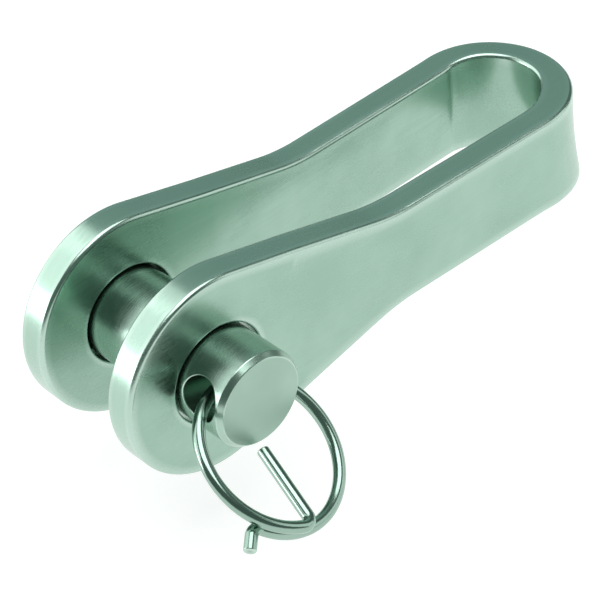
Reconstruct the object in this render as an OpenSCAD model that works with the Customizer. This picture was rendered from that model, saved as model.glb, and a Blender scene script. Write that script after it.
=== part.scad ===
// Rigging link: a flat bar bent into a narrow U, with a clevis pin through its two round ears and a
// wire cotter ring through the pin's tip.
//
// Frame: millimetres. The origin is on the clevis pin's axis, midway between the ears. +X runs along
// the link towards the bow, +Y towards the pin's head, and +Z is up, across the width of the bar.

/* [Strap] */
// Radius of the round ears
ear_r = 13; // [11.5:0.5:14]
// Thickness of the flat bar
strap_t = 4; // [3:0.25:4.5]
// Gap between the ears
jaw_gap = 11.7; // [10:0.1:13]
// Inside diameter of the bow
bow_d = 13.5; // [13.2:0.1:18]
// Pin axis to the outside of the bow
link_l = 64.5; // [60:0.5:90]
// Width of the bar along the loop
loop_w = 13.3; // [10:0.1:16]
// Pin axis to where the ears' taper meets the loop
taper_end = 27.3; // [24:0.1:32]
// Radius that eases the taper into the loop
taper_fillet_r = 25; // [10:1:40]

/* [Clevis pin] */
// Diameter of the pin's shank
pin_d = 12; // [11:0.25:13]
// Radial play of the shank in the ears
pin_play = 0.1; // [0.02:0.01:0.1]
// Diameter of the head
head_d = 16.5; // [15:0.25:20]
// Thickness of the head
head_t = 3; // [2:0.25:5]
// Gap between the head and the ear beside it
head_gap = 0.3; // [0.1:0.05:1]
// How far the tip stands out past the near ear
tip_l = 6.95; // [6.8:0.05:9]
// Chamfer on the tip and the head, measured across the pin
pin_chamfer = 0.5; // [0.2:0.1:0.8]
// Length of the tip's chamfer along the pin
tip_chamfer_l = 0.7; // [0.4:0.1:0.9]
// Diameter of the cross hole for the ring
cross_hole_d = 5.3; // [5.2:0.1:5.6]
// Cross hole's axis to the end of the tip
cross_hole_back = 3.75; // [3.7:0.05:3.9]

/* [Cotter ring] */
// Outside diameter of the coil
ring_d = 20; // [19.8:0.1:21]
// Diameter of the wire
wire_d = 1.5; // [1.2:0.1:1.5]
// Rise of the cross hole's axis above level, towards the jaw's mouth (degrees)
ring_rise = 17; // [0:1:30]
// Lean of the ring from hanging straight down, out past the tip (degrees)
ring_lean = 51; // [0:1:120]
// How far the ring hangs from the cross hole's axis, towards the tip
ring_settle = 0.25; // [0.1:0.05:0.3]
// How far the wire has slid sideways through the hole
ring_shift = 0.4; // [0:0.1:0.5]

/* [Hidden] */
$fa = 3;
$fs = 0.25;

steel = [0.72, 0.8, 0.76];
polished = [0.8, 0.87, 0.83];
wire_steel = [0.86, 0.9, 0.88];

// An allowance that takes cutting shapes past the faces that they cut
past = 1;

// How far a flat face runs in under a round one beside it, instead of just touching it
sink = 0.004;

// Strap, seen from above: the ears are parallel, and the legs splay from there to meet the bow
bow_r = bow_d / 2;
bow_x = link_l - strap_t - bow_r;
splay_x = ear_r;
leg_run = bow_x - splay_x;
leg_splay = asin(bow_r / norm([leg_run, jaw_gap / 2])) - atan2(jaw_gap / 2, leg_run);

// Strap, seen from the side: a straight taper leaves each ear's circle tangentially
loop_half = loop_w / 2;
taper_from = atan2(loop_half, taper_end) + acos(ear_r / norm([taper_end, loop_half]));
taper_angle = 90 - taper_from;
taper_start = (ear_r - sink) * [cos(taper_from), sin(taper_from)];
taper_corner = [taper_end, loop_half];
fillet_reach = taper_fillet_r * tan(taper_angle / 2);

// Clevis pin, with its places along Y
pin_r = pin_d / 2;
head_y = jaw_gap / 2 + strap_t + head_gap;
tip_y = -(jaw_gap / 2 + strap_t + tip_l);
cross_hole_y = tip_y + cross_hole_back;
ring_y = cross_hole_y - ring_settle;

// Cotter ring, drawn flat: the origin is on its swing axis, x runs along the cross hole and y towards
// the middle of the coil. The wire's two turns meet inside the hole and lie side by side opposite it.
wire_r = wire_d / 2;
coil_r = ring_d / 2 - wire_r;
coil_at = [ring_shift, coil_r - 1.1];
hole_turn = 270;
bend_r = 1.2;
tab_from = 53.5;
tab_l = 1.9;
leg_from = 81;
leg_turn = 94;
leg_dip = 13.5;
leg_l = 9.5;
wire_gap = 0.06;
coil_spread = asin((wire_d + wire_gap) / (coil_r * (1 + sin(tab_from))));
wire_sides = 16;
coil_step = 5;
bend_step = 12;

// The block inside the bar's outline seen from above, moved out from the bar's inside face by a distance
module plan_block(out, from, height) {
    r = bow_r + out;
    jaw_half = jaw_gap / 2 + out;
    bend = [splay_x - out * tan(leg_splay / 2), jaw_half];
    meet = [bow_x, 0] + (r - sink) * [-sin(leg_splay), cos(leg_splay)];
    union() {
        translate([bow_x, 0, 0]) cylinder(h = height, r = r, center = true);
        linear_extrude(height, center = true)
            polygon([
                [from, jaw_half], bend, meet,
                [meet.x, -meet.y], [bend.x, -bend.y], [from, -jaw_half]
            ]);
    }
}

// The block inside the bar's outline seen from the side, drawn flat with x along the link and y up
module side_block(height) {
    far_x = link_l + past;
    on_taper = taper_corner + fillet_reach * [-cos(taper_angle), sin(taper_angle)];
    on_loop = taper_corner + [fillet_reach, 0];
    difference() {
        union() {
            cylinder(h = height, r = ear_r, center = true);
            linear_extrude(height, center = true)
                polygon([
                    taper_start, on_taper, on_loop, [far_x, loop_half],
                    [far_x, -loop_half], [on_loop.x, -on_loop.y], [on_taper.x, -on_taper.y],
                    [taper_start.x, -taper_start.y]
                ]);
        }
        for (side = [-1, 1])
            translate([on_loop.x, side * (loop_half + taper_fillet_r), 0])
                cylinder(h = height + past, r = taper_fillet_r + sink, center = true);
    }
}

// Puts a shape drawn about Z onto the clevis pin's axis, with its +Z towards the head
module along_pin() {
    rotate([-90, 0, 0]) children();
}

module strap() {
    full_y = bow_d + 2 * strap_t + 2 * past;
    full_z = 2 * (ear_r + past);
    color(steel)
        difference() {
            intersection() {
                plan_block(strap_t, -ear_r - past, full_z);
                rotate([90, 0, 0]) side_block(full_y);
            }
            plan_block(0, -ear_r - 2 * past, full_z + past);
            along_pin() cylinder(h = full_y, r = pin_r + pin_play, center = true);
        }
}

module clevis_pin() {
    head_r = head_d / 2;
    head_top = head_y + head_t;
    color(polished)
        difference() {
            along_pin()
                rotate_extrude()
                    polygon([
                        [0, tip_y],
                        [pin_r - pin_chamfer, tip_y],
                        [pin_r, tip_y + tip_chamfer_l],
                        [pin_r, head_y],
                        [head_r, head_y],
                        [head_r, head_top - pin_chamfer],
                        [head_r - pin_chamfer, head_top],
                        [0, head_top]
                    ]);
            translate([0, cross_hole_y, 0])
                rotate([0, ring_rise - 90, 0])
                    cylinder(h = pin_d + 2 * past, d = cross_hole_d, center = true);
        }
}

// The place at a distance from another, at an angle measured from x towards y
function away(from, r, angle) = from + r * [cos(angle), sin(angle)];

// Stations along an arc of wire, each [x, y, z, side, dip]. Side is the angle that points across the
// wire, out of the coil; a turned-back arc bulges the other way, so its side is reversed. Dip is how
// steeply the wire runs down out of the ring's plane: it grows evenly along the arc, up to the last.
function arc_stations(at, r, from, to, step, back = 0, dip = 0) =
    let (count = ceil(abs(to - from) / step), run = dip == 0 ? 0 : r * abs(to - from) / dip)
    [for (i = [0:count])
        let (
            share = i / count,
            angle = from + (to - from) * share,
            place = away(at, r, angle)
        )
        [place.x, place.y, -run * (1 - cos(dip * share)), angle + back, dip * share]];

// The outer turn: a finger tab, its bend, and the wire from there round to the cross hole
function outer_turn() =
    let (
        bend_at = away(coil_at, coil_r + bend_r, tab_from),
        tab_start = away(bend_at, bend_r, tab_from + 270),
        tab_end = away(tab_start, tab_l, tab_from)
    )
    concat(
        [[tab_end.x, tab_end.y, 0, tab_from + 90, 0]],
        arc_stations(bend_at, bend_r, tab_from + 270, tab_from + 180, bend_step, -180),
        arc_stations(coil_at, coil_r, tab_from, hole_turn, coil_step)
    );

// The inner turn: the wire from the cross hole round past the tab, its bend, and the straight leg,
// which dips towards the pin
function inner_turn() =
    let (
        bend_at = away(coil_at, coil_r - bend_r, leg_from),
        leg_side = leg_from + leg_turn,
        bend = arc_stations(bend_at, bend_r, leg_from, leg_side, bend_step, 0, leg_dip),
        leg_start = bend[len(bend) - 1],
        leg_end = away([leg_start.x, leg_start.y], leg_l * cos(leg_dip), leg_side + 90)
    )
    concat(
        arc_stations(coil_at, coil_r, hole_turn - 360, leg_from, coil_step),
        bend,
        [[leg_end.x, leg_end.y, leg_start.z - leg_l * sin(leg_dip), leg_side, leg_dip]]
    );

// The circle of points round the wire at a station
function wire_circle(station) =
    let (
        side = station[3],
        dip = station[4],
        across = [cos(side), sin(side), 0],
        rise = [-sin(side) * sin(dip), cos(side) * sin(dip), cos(dip)]
    )
    [for (i = [0:wire_sides - 1])
        let (turn = 360 * i / wire_sides)
        [station.x, station.y, station.z] + wire_r * (cos(turn) * across + sin(turn) * rise)];

// A point tipped about the line along the cross hole through the wire, where the two turns meet
function tipped(point) =
    let (hinge_y = coil_at.y - coil_r, reach = point.y - hinge_y)
    [
        point.x,
        hinge_y + reach * cos(coil_spread) - point.z * sin(coil_spread),
        reach * sin(coil_spread) + point.z * cos(coil_spread)
    ];

// Whether two stations are at different places
function apart(one, other) = norm([one.x - other.x, one.y - other.y]) > 0.001;

// The stations without those that repeat the one before, as an arc's first does
function without_repeats(stations) =
    [for (i = [0:len(stations) - 1])
        if (i == 0 || apart(stations[i], stations[i - 1]))
            stations[i]];

module cotter_ring() {
    outer = [for (station = without_repeats(outer_turn())) wire_circle(station)];
    inner = [for (station = without_repeats(inner_turn()))
        [for (point = wire_circle(station)) tipped(point)]];
    circles = concat(outer, [for (i = [1:len(inner) - 1]) inner[i]]);
    points = [for (circle = circles) each circle];
    last = len(circles) - 1;
    faces = concat(
        [[for (j = [0:wire_sides - 1]) j]],
        [for (i = [0:last - 1], j = [0:wire_sides - 1])
            let (a = i * wire_sides, b = a + wire_sides, k = (j + 1) % wire_sides)
            [a + j, b + j, b + k, a + k]],
        [[for (j = [wire_sides - 1:-1:0]) last * wire_sides + j]]
    );
    color(wire_steel)
        translate([0, ring_y, 0])
            rotate([0, ring_rise + 180, 0])
                rotate([90, 0, 0])
                    rotate([ring_lean, 0, 0])
                        polyhedron(points, faces);
}

strap();
clevis_pin();
cotter_ring();
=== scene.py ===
"""Rigging link with a clevis pin and a cotter ring: the visual model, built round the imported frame.

Lengths below are in millimetres in the frame's own axes, and are turned into metres as each mesh is
made. The origin is on the pin's axis, midway between the ears; +X runs to the bow, +Y to the pin's
head, and +Z is up.
"""

import math

import bpy
import numpy as np
from mathutils import Matrix, Vector


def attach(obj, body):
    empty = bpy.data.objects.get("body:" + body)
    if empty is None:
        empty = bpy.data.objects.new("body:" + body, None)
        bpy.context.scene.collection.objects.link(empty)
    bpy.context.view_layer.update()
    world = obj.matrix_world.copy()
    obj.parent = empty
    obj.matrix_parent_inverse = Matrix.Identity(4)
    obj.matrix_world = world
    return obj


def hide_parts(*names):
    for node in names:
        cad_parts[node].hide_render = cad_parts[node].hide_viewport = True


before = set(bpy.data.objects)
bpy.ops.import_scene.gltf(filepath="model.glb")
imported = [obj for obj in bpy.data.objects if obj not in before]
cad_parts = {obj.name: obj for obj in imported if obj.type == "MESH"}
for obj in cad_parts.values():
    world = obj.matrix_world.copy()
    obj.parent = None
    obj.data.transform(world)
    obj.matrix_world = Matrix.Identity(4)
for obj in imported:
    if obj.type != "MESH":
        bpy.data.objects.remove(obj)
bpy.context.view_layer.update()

MM = 0.001

# Strap, with the bow's small departures from a true bend: it flares, leans and skews towards its
# edges, its outside is narrower than its inside, and its inside is creased where the bend starts
EAR_R = 13.0
STRAP_T = 4.0
JAW_HALF = 11.7 / 2
BOW_R = 13.5 / 2
LINK_L = 64.5
LOOP_HALF = 13.3 / 2
TAPER_END = 27.3
TAPER_FILLET_R = 25.0
SPLAY_X = EAR_R
BORE_R = 6.35
STRAP_EDGE_R = 0.55
BORE_EDGE_R = 0.3
BOW_EASE_BEFORE = 2.0
BOW_EASE_L = 9.0
BOW_FLARE = 0.3
BOW_LEAN = 0.12
BOW_SKEW = 0.45
BOW_NARROWING = 0.02
CREASE_DEPTH = 0.12
CREASE_HALF_WIDTH = 0.7
CREASE_PAST = 0.9
CREASE_SPAN = 3 * CREASE_HALF_WIDTH
CREASE_FADE = 6
EDGE_FLAT_WEAR = 0.35
BORE_WEAR = 0.6
FACE_WEAR_FADE = 12
FACE_ROWS = 12
EAR_RINGS = 9
EAR_RING_SPREAD = 1.15
EAR_STATIONS = 49
TAPER_STATIONS = 9
FILLET_STATIONS = 9
LOOP_STATIONS = 14
CREASE_STATIONS = 21
BOW_STATIONS = 29
EDGE_STEPS = 6
EDGE_FLAT_STATIONS = 6
BORE_EDGE_STATIONS = 5

# Clevis pin
PIN_R = 6.0
TIP_Y = -16.8
HEAD_Y = 10.15
HEAD_T = 3.0
HEAD_R = 8.25
CHAMFER = 0.5
PIN_EDGE_R = 0.25
HEAD_EDGE_R = 0.2
MIDDLE_R = 0.4
TIP_CHAMFER_L = 0.7
HOLE_R = 2.65
HOLE_Y = -13.05
HOLE_EDGE_R = 0.2
HOLE_RISE = math.radians(17)
BELT_CLEAR_TIP = 0.08
BELT_CLEAR_HOLE = 0.5
MOUTH_HALF_TURN = math.radians(40)
MOUTH_COLUMNS = 16
SIDE_COLUMNS = 20
BELT_ROWS = 12
TIP_CORNER_STEPS = 7
HEAD_CORNER_STEPS = 4
WEB_STATIONS = 8
MOUTH_EDGE_STATIONS = 6
TUNNEL_STATIONS = 7

# Cotter ring
RING_Y = -13.3
WIRE_R = 0.75
COIL_R = 9.25
COIL_AT = np.array([0.4, 8.15])
HOLE_TURN = 270.0
BEND_R = 1.2
TAB_FROM = 53.5
TAB_L = 1.9
LEG_FROM = 81.0
LEG_TURN = 94.0
LEG_DIP = 13.5
LEG_L = 9.5
WIRE_GAP = 0.06
RING_LEAN = math.radians(51)
WIRE_SIDES = 28
WIRE_END_R = 0.15
WIRE_END_STEPS = 4
COIL_STEP = 2.5
BEND_STEP = 7.5

WELD = 2e-4
TINY = 1e-6


# ---------------------------------------------------------------- mesh helpers


class Shell:
    """A closed surface gathered from patches, with its true normal and an edge value at each vertex."""

    def __init__(self):
        self.points, self.normals, self.edges, self.faces = [], [], [], []
        self.count = 0

    def add(self, points, normals, edge=0.0):
        """Adds vertices, and returns their numbers in the shape that they came in."""
        points = np.asarray(points, float)
        normals = np.broadcast_to(np.asarray(normals, float), points.shape)
        shape = points.shape[:-1]
        edge = np.broadcast_to(np.asarray(edge, float), shape)
        total = int(np.prod(shape))
        self.points.append(points.reshape(-1, 3))
        self.normals.append(normals.reshape(-1, 3))
        self.edges.append(edge.reshape(-1))
        numbers = np.arange(self.count, self.count + total).reshape(shape)
        self.count += total
        return numbers

    def grid(self, numbers, closed=False):
        """Joins a grid of vertices with quads; closed joins its last column to its first."""
        if closed:
            numbers = np.concatenate([numbers, numbers[:, :1]], axis=1)
        quads = np.stack(
            [numbers[:-1, :-1], numbers[1:, :-1], numbers[1:, 1:], numbers[:-1, 1:]], axis=-1
        )
        self.faces.extend(quads.reshape(-1, 4).tolist())

    def patch(self, points, normals, edge=0.0, closed=False):
        numbers = self.add(points, normals, edge)
        self.grid(numbers, closed)
        return numbers

    def fan(self, ring, centre, normal):
        """Closes a ring of vertices with triangles to a point in its middle."""
        middle = int(self.add([centre], [normal])[0])
        around = list(ring) + [ring[0]]
        self.faces.extend([[int(a), int(b), middle] for a, b in zip(around[:-1], around[1:])])

    def build(self, name):
        """The welded mesh object, in metres, with every face turned to agree with its normals."""
        points = np.concatenate(self.points)
        normals = np.concatenate(self.normals)
        edges = np.concatenate(self.edges)
        key = np.round(points / WELD).astype(np.int64)
        _, first, weld = np.unique(key, axis=0, return_index=True, return_inverse=True)
        weld = weld.reshape(-1)
        welded_normals = np.zeros((len(first), 3))
        np.add.at(welded_normals, weld, normals)
        welded_normals /= np.linalg.norm(welded_normals, axis=1, keepdims=True)
        points, edges = points[first], edges[first]
        faces = []
        for face in self.faces:
            corners = [int(weld[i]) for i in face]
            corners = [c for i, c in enumerate(corners) if c != corners[i - 1]]
            if len(set(corners)) < 3:
                continue
            loop = points[corners]
            area = sum(np.cross(loop[i - 1], loop[i]) for i in range(len(loop)))
            if area @ welded_normals[corners].sum(axis=0) < 0:
                corners.reverse()
            faces.append(corners)
        mesh = bpy.data.meshes.new(name)
        mesh.from_pydata((points * MM).tolist(), [], faces)
        mesh.polygons.foreach_set("use_smooth", [True] * len(mesh.polygons))
        mesh.normals_split_custom_set_from_vertices(welded_normals.tolist())
        wear = mesh.attributes.new("edge", "FLOAT", "POINT")
        wear.data.foreach_set("value", edges.astype(np.float32))
        mesh.update()
        obj = bpy.data.objects.new(name, mesh)
        bpy.context.scene.collection.objects.link(obj)
        return obj


def unit(v):
    return v / np.linalg.norm(v, axis=-1, keepdims=True)


def rounded_profile(corners, radii, steps):
    """A run of (x, y, normal x, normal y, edge) along a polyline whose inner corners are rounded.

    The normals point to the left of the run."""
    corners = [np.array(c, float) for c in corners]
    ways = [unit(end - start) for start, end in zip(corners[:-1], corners[1:])]
    reaches = [0.0]
    for before, after, radius in zip(ways[:-1], ways[1:], radii[1:-1]):
        reaches.append(radius * abs(math.tan(turn_between(before, after) / 2)))
    reaches.append(0.0)
    run = []
    for i, along in enumerate(ways):
        normal = np.array([-along[1], along[0]])
        start = corners[i] + reaches[i] * along
        end = corners[i + 1] - reaches[i + 1] * along
        run.append((*start, *normal, 0.0))
        run.append((*end, *normal, 0.0))
        radius = radii[i + 1]
        if i + 1 < len(ways) and radius > 0:
            turn = turn_between(along, ways[i + 1])
            to_left = math.copysign(radius, turn)
            centre = end + to_left * normal
            for k in range(1, steps):
                mixed = rotate2(normal, turn * k / steps)
                run.append((*(centre - to_left * mixed), *mixed, math.sin(math.pi * k / steps)))
    return np.array(run)


def turn_between(one, other):
    """The turn to the left, in radians, from one direction to another."""
    return math.atan2(one[0] * other[1] - one[1] * other[0], one @ other)


def rotate2(v, angle):
    c, s = math.cos(angle), math.sin(angle)
    return np.array([c * v[0] - s * v[1], s * v[0] + c * v[1]])


# ---------------------------------------------------------------- strap


BAR_R = BOW_R + STRAP_T / 2
BAR_Y = JAW_HALF + STRAP_T / 2
BOW_X = LINK_L - STRAP_T - BOW_R
SPLAY = math.asin(BOW_R / math.hypot(BOW_X - SPLAY_X, JAW_HALF)) - math.atan2(
    JAW_HALF, BOW_X - SPLAY_X
)
SPLAY_S = SPLAY_X - STRAP_T / 2 * math.tan(SPLAY / 2)
BOW_START = np.array([BOW_X - BAR_R * math.sin(SPLAY), BAR_R * math.cos(SPLAY)])
LEG_END_S = SPLAY_S + np.linalg.norm(BOW_START - np.array([SPLAY_S, BAR_Y]))
HALF_S = LEG_END_S + BAR_R * (math.pi / 2 + SPLAY)


def centre_line(s):
    """(x, y, heading) of the bar's middle, for the far half: s runs from the pin's axis to the bow."""
    s = np.asarray(s, float)
    on_leg = np.clip(s, SPLAY_S, LEG_END_S) - SPLAY_S
    bow = np.clip(s - LEG_END_S, 0, None) / BAR_R
    x = np.minimum(s, SPLAY_S) + on_leg * math.cos(SPLAY)
    y = BAR_Y + on_leg * math.sin(SPLAY)
    turned = math.pi / 2 + SPLAY - bow
    x = np.where(bow > 0, BOW_X + BAR_R * np.cos(turned), x)
    y = np.where(bow > 0, BAR_R * np.sin(turned), y)
    heading = np.where(s > SPLAY_S + TINY, SPLAY, 0.0) - bow
    heading = np.where(abs(s - SPLAY_S) <= TINY, SPLAY / 2, heading)
    return x, y, heading


def bend_bar(s, z, h, n, side):
    """Takes places and normals on the flat bar (along s, across z, out h) round the U.

    side is 1 for the far half and -1 for the near half, and the two halves meet at the bow."""
    x, y, heading = centre_line(s)
    bow = np.clip((s - LEG_END_S + BOW_EASE_BEFORE) / BOW_EASE_L, 0, 1)
    bow = bow * bow * (3 - 2 * bow)
    across = z / LOOP_HALF
    inside = np.clip(-2 * h / STRAP_T, 0, 1) * (1 - across**CREASE_FADE)
    from_crease = (s - LEG_END_S - CREASE_PAST) / CREASE_HALF_WIDTH
    crease = CREASE_DEPTH * inside * np.exp(-(from_crease**2))
    crease_slope = -2 * from_crease * crease / CREASE_HALF_WIDTH
    out = h + crease + BOW_FLARE * bow * across**2 - BOW_LEAN * bow * across
    z = z * (1 - BOW_NARROWING * bow * h)
    along = np.stack([np.cos(heading), np.sin(heading), 0 * heading], -1)
    outward = np.stack([-np.sin(heading), np.cos(heading), 0 * heading], -1)
    up = np.array([0.0, 0.0, 1.0])
    points = np.stack([x, y, z], -1) + out[..., None] * outward
    tilt = bow * (2 * BOW_FLARE * across - BOW_LEAN) / LOOP_HALF
    n_up = n[..., 2] - n[..., 1] * tilt
    n_along = n[..., 0] - n[..., 1] * crease_slope
    n_out = n[..., 1] + n[..., 2] * BOW_NARROWING * bow * z
    normals = n_along[..., None] * along + n_out[..., None] * outward + n_up[..., None] * up
    flip = np.array([1.0, side, 1.0])
    points, normals = points * flip, normals * flip
    points[..., 1] += BOW_SKEW * bow * across
    normals[..., 2] -= normals[..., 1] * BOW_SKEW * bow / LOOP_HALF
    return points, unit(normals)


def edge_profile():
    """Round the bar's edge from its outer face to its inner one.

    Each place is (inset from the outline, h, normal out, normal h, edge)."""
    half, r = STRAP_T / 2, STRAP_EDGE_R
    turn = np.linspace(0, math.pi / 2, EDGE_STEPS + 1)
    outer = [
        (r * (1 - math.sin(t)), half - r * (1 - math.cos(t)), math.sin(t), math.cos(t), 1.0)
        for t in turn
    ]
    flat_h = np.linspace(half - r, -(half - r), EDGE_FLAT_STATIONS)[1:-1]
    flat = [(0.0, h, 1.0, 0.0, EDGE_FLAT_WEAR) for h in flat_h]
    inner = [(i, -h, a, -b, e) for i, h, a, b, e in reversed(outer)]
    return np.array(outer + flat + inner)


def outline_stations():
    """The bar's upper outline from the ear's tip to the bow, each (s, z, normal s, normal z)."""
    taper_from = math.atan2(LOOP_HALF, TAPER_END) + math.acos(
        EAR_R / math.hypot(TAPER_END, LOOP_HALF)
    )
    slope = math.pi / 2 - taper_from
    arc = [
        (EAR_R * math.cos(t), EAR_R * math.sin(t), math.cos(t), math.sin(t))
        for t in np.linspace(math.pi, taper_from, EAR_STATIONS)
    ]
    normal = (math.cos(taper_from), math.sin(taper_from))
    reach = TAPER_FILLET_R * math.tan(slope / 2)
    start = EAR_R * np.array(normal)
    end = np.array([TAPER_END, LOOP_HALF]) + reach * np.array([-math.cos(slope), math.sin(slope)])
    split = (SPLAY_S - start[0]) / (end[0] - start[0])
    ear_shares = np.linspace(0, split, TAPER_STATIONS)[1:]
    leg_shares = np.linspace(split, 1, TAPER_STATIONS)
    ear_taper = [(*(start + (end - start) * f), *normal) for f in ear_shares]
    leg_taper = [(*(start + (end - start) * f), *normal) for f in leg_shares]
    centre = np.array([TAPER_END + reach, LOOP_HALF + TAPER_FILLET_R])
    fillet = []
    for t in np.linspace(slope, 0, FILLET_STATIONS)[1:]:
        out = np.array([math.sin(t), math.cos(t)])
        fillet.append((*(centre - TAPER_FILLET_R * out), *out))
    crease = LEG_END_S + CREASE_PAST
    loop = [
        *np.linspace(centre[0], crease - CREASE_SPAN, LOOP_STATIONS)[1:],
        *np.linspace(crease - CREASE_SPAN, crease + CREASE_SPAN, CREASE_STATIONS)[1:],
        *np.linspace(crease + CREASE_SPAN, HALF_S, BOW_STATIONS)[1:],
    ]
    straight = [(s, LOOP_HALF, 0.0, 1.0) for s in loop]
    return np.array(arc + ear_taper), np.array(leg_taper + fillet + straight)


def add_rims(shell, line, side):
    """The bar's rounded rims along an outline, one above and one below."""
    profile = edge_profile()
    for top in (1, -1):
        s = line[:, None, 0] - profile[None, :, 0] * line[:, None, 2]
        z = (line[:, None, 1] - profile[None, :, 0] * line[:, None, 3]) * top
        h = np.broadcast_to(profile[None, :, 1], s.shape)
        n = np.stack(
            [
                profile[None, :, 2] * line[:, None, 2],
                np.broadcast_to(profile[None, :, 3], s.shape),
                profile[None, :, 2] * line[:, None, 3] * top,
            ],
            -1,
        )
        points, normals = bend_bar(s, z, h, n, side)
        shell.patch(points, normals, np.broadcast_to(profile[None, :, 4], s.shape))


def inset(line):
    """The (s, z) places where a broad face meets the rim along an outline."""
    return line[:, :2] - STRAP_EDGE_R * line[:, 2:]


def add_leg_faces(shell, leg, side):
    """The two broad faces of a leg and its half of the bow."""
    border = inset(leg)
    share = np.linspace(-1, 1, FACE_ROWS + 1)
    s = np.repeat(border[:, :1], FACE_ROWS + 1, axis=1)
    z = border[:, 1:] * share[None, :]
    edge = np.abs(share[None, :]) ** FACE_WEAR_FADE * np.ones_like(s)
    for face in (1, -1):
        n = np.zeros(s.shape + (3,))
        n[..., 1] = face
        points, normals = bend_bar(s, z, np.full(s.shape, face * STRAP_T / 2), n, side)
        shell.patch(points, normals, edge)


def ear_border(ear, leg):
    """The border of an ear's broad face: its rim, and the line across the bar where the leg starts."""
    upper = inset(ear)
    start_s, start_z = inset(leg)[0]
    share = np.linspace(1, -1, FACE_ROWS + 1)
    across = np.stack([np.full(FACE_ROWS + 1, start_s), start_z * share], -1)
    lower = upper[::-1] * np.array([1.0, -1.0])
    return np.concatenate([upper[:-1], across[:-1], lower[:-1]])


def add_ear_faces(shell, border, spoke, side):
    """The two broad faces of an ear, from the bore's rounded edge out to the border."""
    inner = (BORE_R + BORE_EDGE_R) * spoke[None]
    share_out = np.linspace(0, 1, EAR_RINGS) ** EAR_RING_SPREAD
    flat = inner + share_out[:, None, None] * (border[None] - inner)
    edge = np.zeros(flat.shape[:-1])
    edge[0] = edge[-1] = 1
    for face in (1, -1):
        n = np.zeros(flat.shape[:-1] + (3,))
        n[..., 1] = face
        h = np.full(flat.shape[:-1], face * STRAP_T / 2)
        points, normals = bend_bar(flat[..., 0], flat[..., 1], h, n, side)
        shell.patch(points, normals, edge, closed=True)


def add_bore(shell, spoke, side):
    """The bore through an ear, with its two edges eased."""
    outer = []
    for t in np.linspace(0, math.pi / 2, BORE_EDGE_STATIONS):
        r = BORE_R + BORE_EDGE_R * (1 - math.sin(t))
        h = STRAP_T / 2 - BORE_EDGE_R * (1 - math.cos(t))
        outer.append((r, h, -math.sin(t), math.cos(t)))
    inner = [(r, -h, a, -b) for r, h, a, b in reversed(outer)]
    bore = np.array(outer + inner)
    s = bore[:, None, 0] * spoke[None, :, 0]
    z = bore[:, None, 0] * spoke[None, :, 1]
    h = np.broadcast_to(bore[:, None, 1], s.shape)
    n = np.stack(
        [
            bore[:, None, 2] * spoke[None, :, 0],
            np.broadcast_to(bore[:, None, 3], s.shape),
            bore[:, None, 2] * spoke[None, :, 1],
        ],
        -1,
    )
    points, normals = bend_bar(s, z, h, n, side)
    shell.patch(points, normals, BORE_WEAR, closed=True)


def make_strap():
    shell = Shell()
    ear, leg = outline_stations()
    border = ear_border(ear, leg)
    for side in (1, -1):
        add_rims(shell, ear, side)
        add_rims(shell, leg, side)
        add_leg_faces(shell, leg, side)
        add_ear_faces(shell, border, unit(border), side)
        add_bore(shell, unit(border), side)
    return shell.build("strap_bar")


# ---------------------------------------------------------------- clevis pin


def about_pin(radius, turn, y):
    """A place on the pin, turn being measured in its cross-section from -X towards +Z."""
    return np.stack([-radius * np.cos(turn), y + 0 * turn, radius * np.sin(turn)], -1)


def lathe(shell, profile, turns):
    """Turns a profile of (radius, y, normal radius, normal y, edge) about the pin's axis."""
    radius, y = profile[:, None, 0], profile[:, None, 1]
    turn = np.broadcast_to(turns[None, :], (len(profile), len(turns)))
    points = about_pin(radius + 0 * turn, turn, y + 0 * turn)
    outward = about_pin(1 + 0 * turn, turn, 0 * turn)
    normals = profile[:, None, 2:3] * outward
    normals[..., 1] += profile[:, None, 3]
    edge = np.broadcast_to(profile[:, None, 4], turn.shape)
    return shell.patch(points, normals, edge, closed=True)


BELT_FROM = TIP_Y + TIP_CHAMFER_L + BELT_CLEAR_TIP
BELT_TO = HOLE_Y + HOLE_R + BELT_CLEAR_HOLE
MOUTH_TURNS = (HOLE_RISE, HOLE_RISE + math.pi)
LIP_R = HOLE_R + HOLE_EDGE_R


def pin_turns():
    """The angles of the pin's columns: even across each mouth of the cross hole, and between them."""
    turns = []
    for centre in MOUTH_TURNS:
        across = np.linspace(-MOUTH_HALF_TURN, MOUTH_HALF_TURN, MOUTH_COLUMNS + 1)
        turns += list(centre + across[:-1])
        turns += list(plain_turns(centre)[:-1])
    return np.array(turns)


def plain_turns(mouth_turn):
    """The angles of the columns from one mouth to the next."""
    between = np.linspace(MOUTH_HALF_TURN, math.pi - MOUTH_HALF_TURN, SIDE_COLUMNS + 1)
    return mouth_turn + between


def add_tip(shell, turns):
    """The pin's tip, from the middle of its end face to where the belt round the cross hole starts."""
    tip = rounded_profile(
        [
            (MIDDLE_R, TIP_Y),
            (PIN_R - CHAMFER, TIP_Y),
            (PIN_R, TIP_Y + TIP_CHAMFER_L),
            (PIN_R, BELT_FROM),
        ],
        [0, PIN_EDGE_R, PIN_EDGE_R, 0],
        TIP_CORNER_STEPS,
    )
    tip[:, 2:4] *= -1
    rings = lathe(shell, tip, turns)
    shell.fan(rings[0], (0, TIP_Y, 0), (0, -1, 0))


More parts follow.
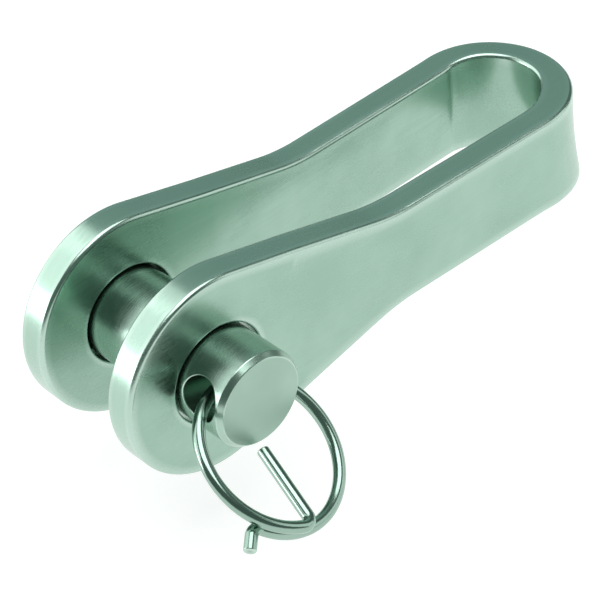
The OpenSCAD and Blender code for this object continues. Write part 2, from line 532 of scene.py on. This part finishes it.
def add_shank_and_head(shell, turns):
    top = HEAD_Y + HEAD_T
    shank = rounded_profile(
        [
            (PIN_R, BELT_TO),
            (PIN_R, -JAW_HALF),
            (PIN_R, JAW_HALF),
            (PIN_R, HEAD_Y),
            (HEAD_R, HEAD_Y),
            (HEAD_R, top - CHAMFER),
            (HEAD_R - CHAMFER, top),
            (MIDDLE_R, top),
        ],
        [0, 0, 0, PIN_EDGE_R, HEAD_EDGE_R, HEAD_EDGE_R, HEAD_EDGE_R, 0],
        HEAD_CORNER_STEPS,
    )
    shank[:, 2:4] *= -1
    rings = lathe(shell, shank, turns)
    shell.fan(rings[-1], (0, top, 0), (0, 1, 0))


def add_belt(shell, mouth_turn):
    """Half of the belt round the cross hole: its plain part, and a web of quads round one mouth.

    Returns the angles round the mouth at which the web reaches its lip."""
    rows = np.linspace(BELT_FROM, BELT_TO, BELT_ROWS + 1)
    turn, y = np.meshgrid(plain_turns(mouth_turn), rows)
    shell.patch(about_pin(PIN_R, turn, y), about_pin(1.0, turn, 0 * y))
    across = np.linspace(-MOUTH_HALF_TURN, MOUTH_HALF_TURN, MOUTH_COLUMNS + 1)
    border = np.array(
        [(t, BELT_FROM) for t in across[:-1]]
        + [(MOUTH_HALF_TURN, y) for y in rows[:-1]]
        + [(t, BELT_TO) for t in across[:0:-1]]
        + [(-MOUTH_HALF_TURN, y) for y in rows[:0:-1]]
    )
    round_hole = np.arctan2(border[:, 1] - HOLE_Y, PIN_R * border[:, 0])
    lip_turn = np.arcsin(LIP_R * np.cos(round_hole) / PIN_R)
    lip = np.stack([lip_turn, HOLE_Y + LIP_R * np.sin(round_hole)], -1)
    share = np.linspace(0, 1, WEB_STATIONS)[:, None, None]
    web = lip[None] + share * (border - lip)[None]
    turn, y = mouth_turn + web[..., 0], web[..., 1]
    edge = np.zeros(turn.shape)
    edge[0] = 1
    shell.patch(about_pin(PIN_R, turn, y), about_pin(1.0, turn, 0 * y), edge, closed=True)
    return round_hole


def add_mouth(shell, round_hole, out, axes):
    """The eased edge of one mouth; returns the ring of places where the hole's plain wall starts."""
    centre, axis, side_way, up = axes
    c, s = np.cos(round_hole), np.sin(round_hole)
    radial = c[:, None] * side_way * out + s[:, None] * up
    depth_lip = np.sqrt(PIN_R**2 - (LIP_R * c) ** 2)
    depth_hole = np.sqrt(PIN_R**2 - (HOLE_R * c) ** 2)
    lip = centre + LIP_R * radial + out * depth_lip[:, None] * axis
    corner = centre + HOLE_R * radial + out * depth_hole[:, None] * axis
    wall = corner - out * HOLE_EDGE_R * axis
    lip_normal = unit((lip - centre) * np.array([1.0, 0.0, 1.0]))
    rounds, normals = [], []
    for f in np.linspace(0, 1, MOUTH_EDGE_STATIONS):
        rounds.append((1 - f) ** 2 * lip + 2 * f * (1 - f) * corner + f**2 * wall)
        normals.append(unit((1 - f) * lip_normal - f * radial))
    shell.patch(np.array(rounds), np.array(normals), 1.0, closed=True)
    return wall


def add_tunnel(shell, near, far, round_near, axes):
    """The cross hole's wall, each place at the near mouth being joined to the one facing it."""
    _, axis, side_way, up = axes
    offsets = far[None] - near[:, None]
    sideways = offsets - (offsets @ axis)[..., None] * axis
    facing = far[np.argmin(np.linalg.norm(sideways, axis=-1), axis=1)]
    radial = np.cos(round_near)[:, None] * side_way + np.sin(round_near)[:, None] * up
    steps = np.linspace(0, 1, TUNNEL_STATIONS)[:, None, None]
    tunnel = near[None] + steps * (facing - near)[None]
    shell.patch(tunnel, np.broadcast_to(-radial[None], tunnel.shape), 0.0, closed=True)


def make_pin():
    shell = Shell()
    turns = pin_turns()
    add_tip(shell, turns)
    add_shank_and_head(shell, turns)
    round_near, round_far = [add_belt(shell, mouth_turn) for mouth_turn in MOUTH_TURNS]
    axes = (
        np.array([0.0, HOLE_Y, 0.0]),
        np.array([-math.cos(HOLE_RISE), 0.0, math.sin(HOLE_RISE)]),
        np.array([math.sin(HOLE_RISE), 0.0, math.cos(HOLE_RISE)]),
        np.array([0.0, 1.0, 0.0]),
    )
    near = add_mouth(shell, round_near, 1, axes)
    far = add_mouth(shell, round_far, -1, axes)
    add_tunnel(shell, near, far, round_near, axes)
    return shell.build("clevis_pin_turned")


# ---------------------------------------------------------------- cotter ring


def away(start, r, degrees):
    angle = math.radians(degrees)
    return np.asarray(start) + r * np.array([math.cos(angle), math.sin(angle)])


def arc_stations(at, r, start, end, step, back=0.0, dip=0.0):
    """Stations (x, y, z, side, dip) along an arc.

    side is the angle in degrees across the wire, and dip how steeply it runs out of the plane: dip
    grows evenly along the arc, from nothing to the given angle."""
    count = math.ceil(abs(end - start) / step)
    run = r * abs(end - start) / dip if dip else 0.0
    stations = []
    for i in range(count + 1):
        angle = start + (end - start) * i / count
        slope = dip * i / count
        z = -run * (1 - math.cos(math.radians(slope)))
        stations.append((*away(at, r, angle), z, angle + back, slope))
    return stations


def ring_stations():
    """The wire's outer turn, from the tab's cut end to the cross hole, and its inner one from there."""
    bend_at = away(COIL_AT, COIL_R + BEND_R, TAB_FROM)
    tab_start = away(bend_at, BEND_R, TAB_FROM + 270)
    tab_end = away(tab_start, TAB_L, TAB_FROM)
    outer = [(*tab_end, 0.0, TAB_FROM + 90, 0.0)]
    outer += arc_stations(bend_at, BEND_R, TAB_FROM + 270, TAB_FROM + 180, BEND_STEP, -180.0)
    outer += arc_stations(COIL_AT, COIL_R, TAB_FROM, HOLE_TURN, COIL_STEP)[1:]
    bend_at = away(COIL_AT, COIL_R - BEND_R, LEG_FROM)
    leg_side = LEG_FROM + LEG_TURN
    bend = arc_stations(bend_at, BEND_R, LEG_FROM, leg_side, BEND_STEP, dip=LEG_DIP)
    dip = math.radians(LEG_DIP)
    leg_end = away(bend[-1][:2], LEG_L * math.cos(dip), leg_side + 90)
    inner = arc_stations(COIL_AT, COIL_R, HOLE_TURN - 360, LEG_FROM, COIL_STEP)[1:]
    inner += bend[1:]
    inner += [(*leg_end, bend[-1][2] - LEG_L * math.sin(dip), leg_side, LEG_DIP)]
    return outer, inner


def make_ring():
    shell = Shell()
    reach_at_tab = COIL_R * (1 + math.sin(math.radians(TAB_FROM)))
    spread = math.asin((2 * WIRE_R + WIRE_GAP) / reach_at_tab)
    hinge = np.array([0.0, COIL_AT[1] - COIL_R, 0.0])
    tip = np.array(Matrix.Rotation(spread, 3, "X"))
    along = np.array([-math.cos(HOLE_RISE), 0.0, math.sin(HOLE_RISE)])
    hanging = np.array([-math.sin(HOLE_RISE), 0.0, -math.cos(HOLE_RISE)])
    outward = math.cos(RING_LEAN) * hanging + math.sin(RING_LEAN) * np.array([0.0, -1.0, 0.0])
    axes = np.stack([along, outward, np.cross(along, outward)])
    centre = np.array([0.0, RING_Y, 0.0])
    outer, inner = ring_stations()
    turn = np.linspace(0, 2 * math.pi, WIRE_SIDES, endpoint=False)

    def circle(station, tipped, radius=WIRE_R, ahead=0.0, normal_ahead=0.0):
        a, dip = math.radians(station[3]), math.radians(station[4])
        across = np.array([math.cos(a), math.sin(a), 0.0])
        flat = np.array([-math.sin(a), math.cos(a), 0.0])
        upward = np.array([0.0, 0.0, 1.0])
        forward = math.cos(dip) * flat - math.sin(dip) * upward
        rise = math.sin(dip) * flat + math.cos(dip) * upward
        spokes = np.cos(turn)[:, None] * across + np.sin(turn)[:, None] * rise
        points = np.array(station[:3]) + radius * spokes + ahead * forward
        normals = math.cos(normal_ahead) * spokes + math.sin(normal_ahead) * forward
        if tipped:
            points = (points - hinge) @ tip.T + hinge
            normals = normals @ tip.T
        return centre + points @ axes, normals @ axes

    def cut_end(station, tipped, way):
        """The rounded rim of a cut end; way is 1 if the wire's end faces forward, and -1 if back."""
        return [
            circle(
                station,
                tipped,
                WIRE_R - WIRE_END_R * (1 - math.cos(t)),
                way * WIRE_END_R * (math.sin(t) - 1),
                way * t,
            )
            for t in np.linspace(0, math.pi / 2, WIRE_END_STEPS + 1)
        ]

    tab, leg = cut_end(outer[0], False, -1), cut_end(inner[-1], True, 1)
    body = [circle(s, False) for s in outer[1:]] + [circle(s, True) for s in inner[:-1]]
    wire = tab[::-1] + body + leg
    points = np.array([p for p, _ in wire])
    normals = np.array([n for _, n in wire])
    edge = np.zeros(points.shape[:2])
    edge[:WIRE_END_STEPS] = edge[-WIRE_END_STEPS:] = 1
    numbers = shell.patch(points, normals, edge, closed=True)
    for row in (0, -1):
        shell.fan(numbers[row], points[row].mean(axis=0), normals[row].mean(axis=0))
    return shell.build("cotter_ring_wire")


# ---------------------------------------------------------------- materials


def new_material(name):
    material = bpy.data.materials.new(name)
    material.use_nodes = True
    nodes = material.node_tree.nodes
    nodes.clear()
    out = nodes.new("ShaderNodeOutputMaterial")
    shader = nodes.new("ShaderNodeBsdfPrincipled")
    material.node_tree.links.new(shader.outputs["BSDF"], out.inputs["Surface"])
    return material, nodes, material.node_tree.links, shader


def noise(nodes, links, vector, scale, detail, roughness=0.55):
    node = nodes.new("ShaderNodeTexNoise")
    node.inputs["Scale"].default_value = scale
    node.inputs["Detail"].default_value = detail
    node.inputs["Roughness"].default_value = roughness
    links.new(vector, node.inputs["Vector"])
    return node.outputs["Fac"]


def stretched(nodes, links, vector, scale):
    node = nodes.new("ShaderNodeMapping")
    node.inputs["Scale"].default_value = scale
    links.new(vector, node.inputs["Vector"])
    return node.outputs["Vector"]


def remap(nodes, links, value, low, high, to_low, to_high):
    node = nodes.new("ShaderNodeMapRange")
    sockets = ("From Min", "From Max", "To Min", "To Max")
    for name, number in zip(sockets, (low, high, to_low, to_high)):
        node.inputs[name].default_value = number
    links.new(value, node.inputs["Value"])
    return node.outputs["Result"]


def math_node(nodes, links, operation, one, other):
    node = nodes.new("ShaderNodeMath")
    node.operation = operation
    for socket, value in zip(node.inputs, (one, other)):
        if isinstance(value, (int, float)):
            socket.default_value = value
        else:
            links.new(value, socket)
    return node.outputs["Value"]


def mix_colour(nodes, links, factor, one, other):
    node = nodes.new("ShaderNodeMix")
    node.data_type = "RGBA"
    links.new(factor, node.inputs["Factor"])
    for name, value in (("A", one), ("B", other)):
        socket = next(s for s in node.inputs if s.name == name and s.type == "RGBA")
        if isinstance(value, tuple):
            socket.default_value = (*value, 1.0)
        else:
            links.new(value, socket)
    return next(s for s in node.outputs if s.type == "RGBA")


def bump(nodes, links, height, distance, strength, before=None):
    node = nodes.new("ShaderNodeBump")
    node.inputs["Distance"].default_value = distance
    node.inputs["Strength"].default_value = strength
    links.new(height, node.inputs["Height"])
    if before is not None:
        links.new(before, node.inputs["Normal"])
    return node.outputs["Normal"]


BROAD_SCALE = 90.0
PIT_SCALE = 2600.0
PIT_DEPTH = 0.00001
PIT_STRENGTH = 0.12
RIPPLE_DEPTH = 0.0006
RIPPLE_STRENGTH = 0.10
SCRATCH_DEPTH = 0.00002
LINED_SHARE = 0.22
FACED_ROUGHER = 0.16


def steel(
    name, light, dark, edge_colour, rough, edge_rough, grain, grain_strength, ripple, faced_at=None
):
    """Stainless steel: broad tone, a fine directional grain, tumbled pits and eased bright edges.

    faced_at is the place along Y of a cut end that is left duller than the rest."""
    material, nodes, links, shader = new_material(name)
    place = nodes.new("ShaderNodeTexCoord").outputs["Object"]
    wear = nodes.new("ShaderNodeAttribute")
    wear.attribute_name = "edge"
    broad = noise(nodes, links, place, BROAD_SCALE, 3.0)
    pits = noise(nodes, links, place, PIT_SCALE, 3.0)
    lines = noise(nodes, links, stretched(nodes, links, place, grain), 1.0, 5.0, 0.6)

    patchy = remap(nodes, links, broad, 0.35, 0.65, 0.0, 1.0)
    tone = mix_colour(nodes, links, patchy, light, dark)
    line_share = remap(nodes, links, lines, 0.3, 0.7, 0.0, LINED_SHARE)
    lined = mix_colour(nodes, links, line_share, tone, dark)
    rubbed = remap(nodes, links, broad, 0.3, 0.6, 0.55, 1.0)
    scuff = math_node(nodes, links, "MULTIPLY", wear.outputs["Fac"], rubbed)
    coloured = mix_colour(nodes, links, scuff, lined, edge_colour)
    links.new(coloured, shader.inputs["Base Color"])
    shader.inputs["Metallic"].default_value = 1.0

    base_rough = remap(nodes, links, broad, 0.3, 0.7, rough * 0.85, rough * 1.2)
    line_rough = remap(nodes, links, lines, 0.3, 0.7, -0.02, 0.04)
    grained = math_node(nodes, links, "ADD", base_rough, line_rough)
    eased = math_node(nodes, links, "MULTIPLY", scuff, edge_rough - rough)
    roughness = math_node(nodes, links, "ADD", grained, eased)
    if faced_at is not None:
        split = nodes.new("ShaderNodeSeparateXYZ")
        links.new(place, split.inputs["Vector"])
        low, high = (faced_at + 0.01) * MM, (faced_at + 0.05) * MM
        dull = remap(nodes, links, split.outputs["Y"], low, high, FACED_ROUGHER, 0.0)
        roughness = math_node(nodes, links, "ADD", roughness, dull)
    links.new(roughness, shader.inputs["Roughness"])

    waves = noise(nodes, links, place, ripple, 1.0)
    rippled = bump(nodes, links, waves, RIPPLE_DEPTH, RIPPLE_STRENGTH)
    scratched = bump(nodes, links, lines, SCRATCH_DEPTH, grain_strength, rippled)
    pitted = bump(nodes, links, pits, PIT_DEPTH, PIT_STRENGTH, scratched)
    links.new(pitted, shader.inputs["Normal"])
    return material


strap_steel = steel(
    "strap_steel",
    light=(0.376, 0.537, 0.446),
    dark=(0.325, 0.48, 0.395),
    edge_colour=(0.48, 0.63, 0.55),
    rough=0.24,
    edge_rough=0.25,
    grain=(150.0, 2500.0, 2500.0),
    grain_strength=0.10,
    ripple=80.0,
)
pin_steel = steel(
    "pin_steel",
    light=(0.40, 0.55, 0.47),
    dark=(0.36, 0.51, 0.42),
    edge_colour=(0.52, 0.66, 0.58),
    rough=0.25,
    edge_rough=0.22,
    grain=(120.0, 5200.0, 120.0),
    grain_strength=0.14,
    ripple=90.0,
    faced_at=TIP_Y,
)
ring_wire = steel(
    "ring_wire",
    light=(0.36, 0.49, 0.42),
    dark=(0.29, 0.42, 0.35),
    edge_colour=(0.50, 0.64, 0.56),
    rough=0.16,
    edge_rough=0.20,
    grain=(900.0, 900.0, 900.0),
    grain_strength=0.12,
    ripple=200.0,
)

for make, node, body, slot, material in (
    (make_strap, "strap", "link", "strap_steel", strap_steel),
    (make_pin, "clevis_pin", "pin", "pin_steel", pin_steel),
    (make_ring, "cotter_ring", "ring", "ring_wire", ring_wire),
):
    piece = make()
    piece.data.materials.append(material)
    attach(piece, body)
    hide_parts(node)


# ---------------------------------------------------------------- floor, light and camera


FLOOR_Z = -21.2
FLOOR_HALF = 4.0
FLOOR_COLOURS = ((0.40, 0.405, 0.40), (0.43, 0.43, 0.425))
FLOOR_GLOW = 0.76
MOTTLE_SCALE = 6.0
floor_material, floor_nodes, floor_links, floor_shader = new_material("studio_floor")
floor_place = floor_nodes.new("ShaderNodeTexCoord").outputs["Object"]
mottle = noise(floor_nodes, floor_links, floor_place, MOTTLE_SCALE, 2.0)
floor_colour = mix_colour(floor_nodes, floor_links, mottle, *FLOOR_COLOURS)
floor_links.new(floor_colour, floor_shader.inputs["Base Color"])
floor_shader.inputs["Roughness"].default_value = 0.9
floor_shader.inputs["Specular IOR Level"].default_value = 0.0
floor_shader.inputs["Emission Color"].default_value = (1.0, 1.0, 1.0, 1.0)
floor_shader.inputs["Emission Strength"].default_value = FLOOR_GLOW
floor_mesh = bpy.data.meshes.new("studio_floor")
floor_mesh.from_pydata(
    [
        (x * FLOOR_HALF, y * FLOOR_HALF, FLOOR_Z * MM)
        for x, y in ((-1, -1), (1, -1), (1, 1), (-1, 1))
    ],
    [],
    [(0, 1, 2, 3)],
)
floor_mesh.materials.append(floor_material)
floor = bpy.data.objects.new("studio_floor", floor_mesh)
bpy.context.scene.collection.objects.link(floor)

WORLD_COLOUR = (0.12, 0.165, 0.15, 1.0)
world = bpy.data.worlds.new("studio")
world.use_nodes = True
world.node_tree.nodes["Background"].inputs["Color"].default_value = WORLD_COLOUR
world.node_tree.nodes["Background"].inputs["Strength"].default_value = 1.0
bpy.context.scene.world = world
bpy.context.scene.view_settings.view_transform = "Standard"


def softbox(name, azimuth, elevation, distance, width, height, radiance, colour):
    """A rectangular area light, placed by its direction in degrees from the part, and facing it.

    Its distance, width and height are in metres."""
    data = bpy.data.lights.new(name, "AREA")
    data.shape = "RECTANGLE"
    data.size, data.size_y = width, height
    data.energy = radiance * math.pi * width * height
    data.color = colour
    light = bpy.data.objects.new(name, data)
    a, e = math.radians(azimuth), math.radians(elevation)
    way = Vector((math.cos(a) * math.cos(e), math.sin(a) * math.cos(e), math.sin(e)))
    light.location = LIGHTS_AIM + distance * way
    light.rotation_mode = "QUATERNION"
    light.rotation_quaternion = way.to_track_quat("Z", "Y")
    light.visible_camera = False
    bpy.context.scene.collection.objects.link(light)


LIGHTS_AIM = Vector((0.02, 0.0, 0.0))
WHITE = (1.0, 1.0, 1.0)
TEAL = (0.71, 1.0, 0.97)
for box in (
    # name, azimuth, elevation, distance, width, height, radiance, colour
    ("overhead_box", -59.0, 84.0, 0.55, 0.50, 0.50, 2.6, WHITE),
    ("left_back_box", 118.0, 27.0, 0.55, 0.69, 0.51, 1.5, WHITE),
    ("left_low_box", 141.0, 7.0, 0.50, 0.24, 0.14, 4.0, WHITE),
    ("left_top_box", 98.0, 56.0, 0.55, 0.25, 0.20, 0.9, WHITE),
    ("back_box", 48.0, 33.0, 0.60, 0.56, 0.44, 0.26, TEAL),
    ("right_front_box", -38.0, 18.0, 0.55, 0.36, 0.32, 1.0, WHITE),
):
    softbox(*box)

CAMERA_AZIMUTH = math.radians(-39.126)
CAMERA_ELEVATION = math.radians(39.030)
CAMERA_ROLL = math.radians(-5.555)
CAMERA_DISTANCE = 274.291
CAMERA_TARGET = Vector((20.535, 0.0, -7.249))
FOCAL_MM = 135.917
SENSOR_MM = 36.0

sin_a, cos_a = math.sin(CAMERA_AZIMUTH), math.cos(CAMERA_AZIMUTH)
sin_e, cos_e = math.sin(CAMERA_ELEVATION), math.cos(CAMERA_ELEVATION)
back = Vector((sin_a * cos_e, -cos_a * cos_e, sin_e))
right = Vector((cos_a, sin_a, 0.0))
up = back.cross(right)
rolled_right = right * math.cos(CAMERA_ROLL) + up * math.sin(CAMERA_ROLL)
rolled_up = up * math.cos(CAMERA_ROLL) - right * math.sin(CAMERA_ROLL)
camera_data = bpy.data.cameras.new("camera")
camera_data.sensor_width = SENSOR_MM
camera_data.lens = FOCAL_MM
camera_data.clip_start, camera_data.clip_end = 0.01, 20.0
camera = bpy.data.objects.new("camera", camera_data)
turned = Matrix((rolled_right, rolled_up, back)).transposed()
camera_at = (CAMERA_TARGET + back * CAMERA_DISTANCE) * MM
camera.matrix_world = Matrix.Translation(camera_at) @ turned.to_4x4()
bpy.context.scene.collection.objects.link(camera)
bpy.context.scene.camera = camera
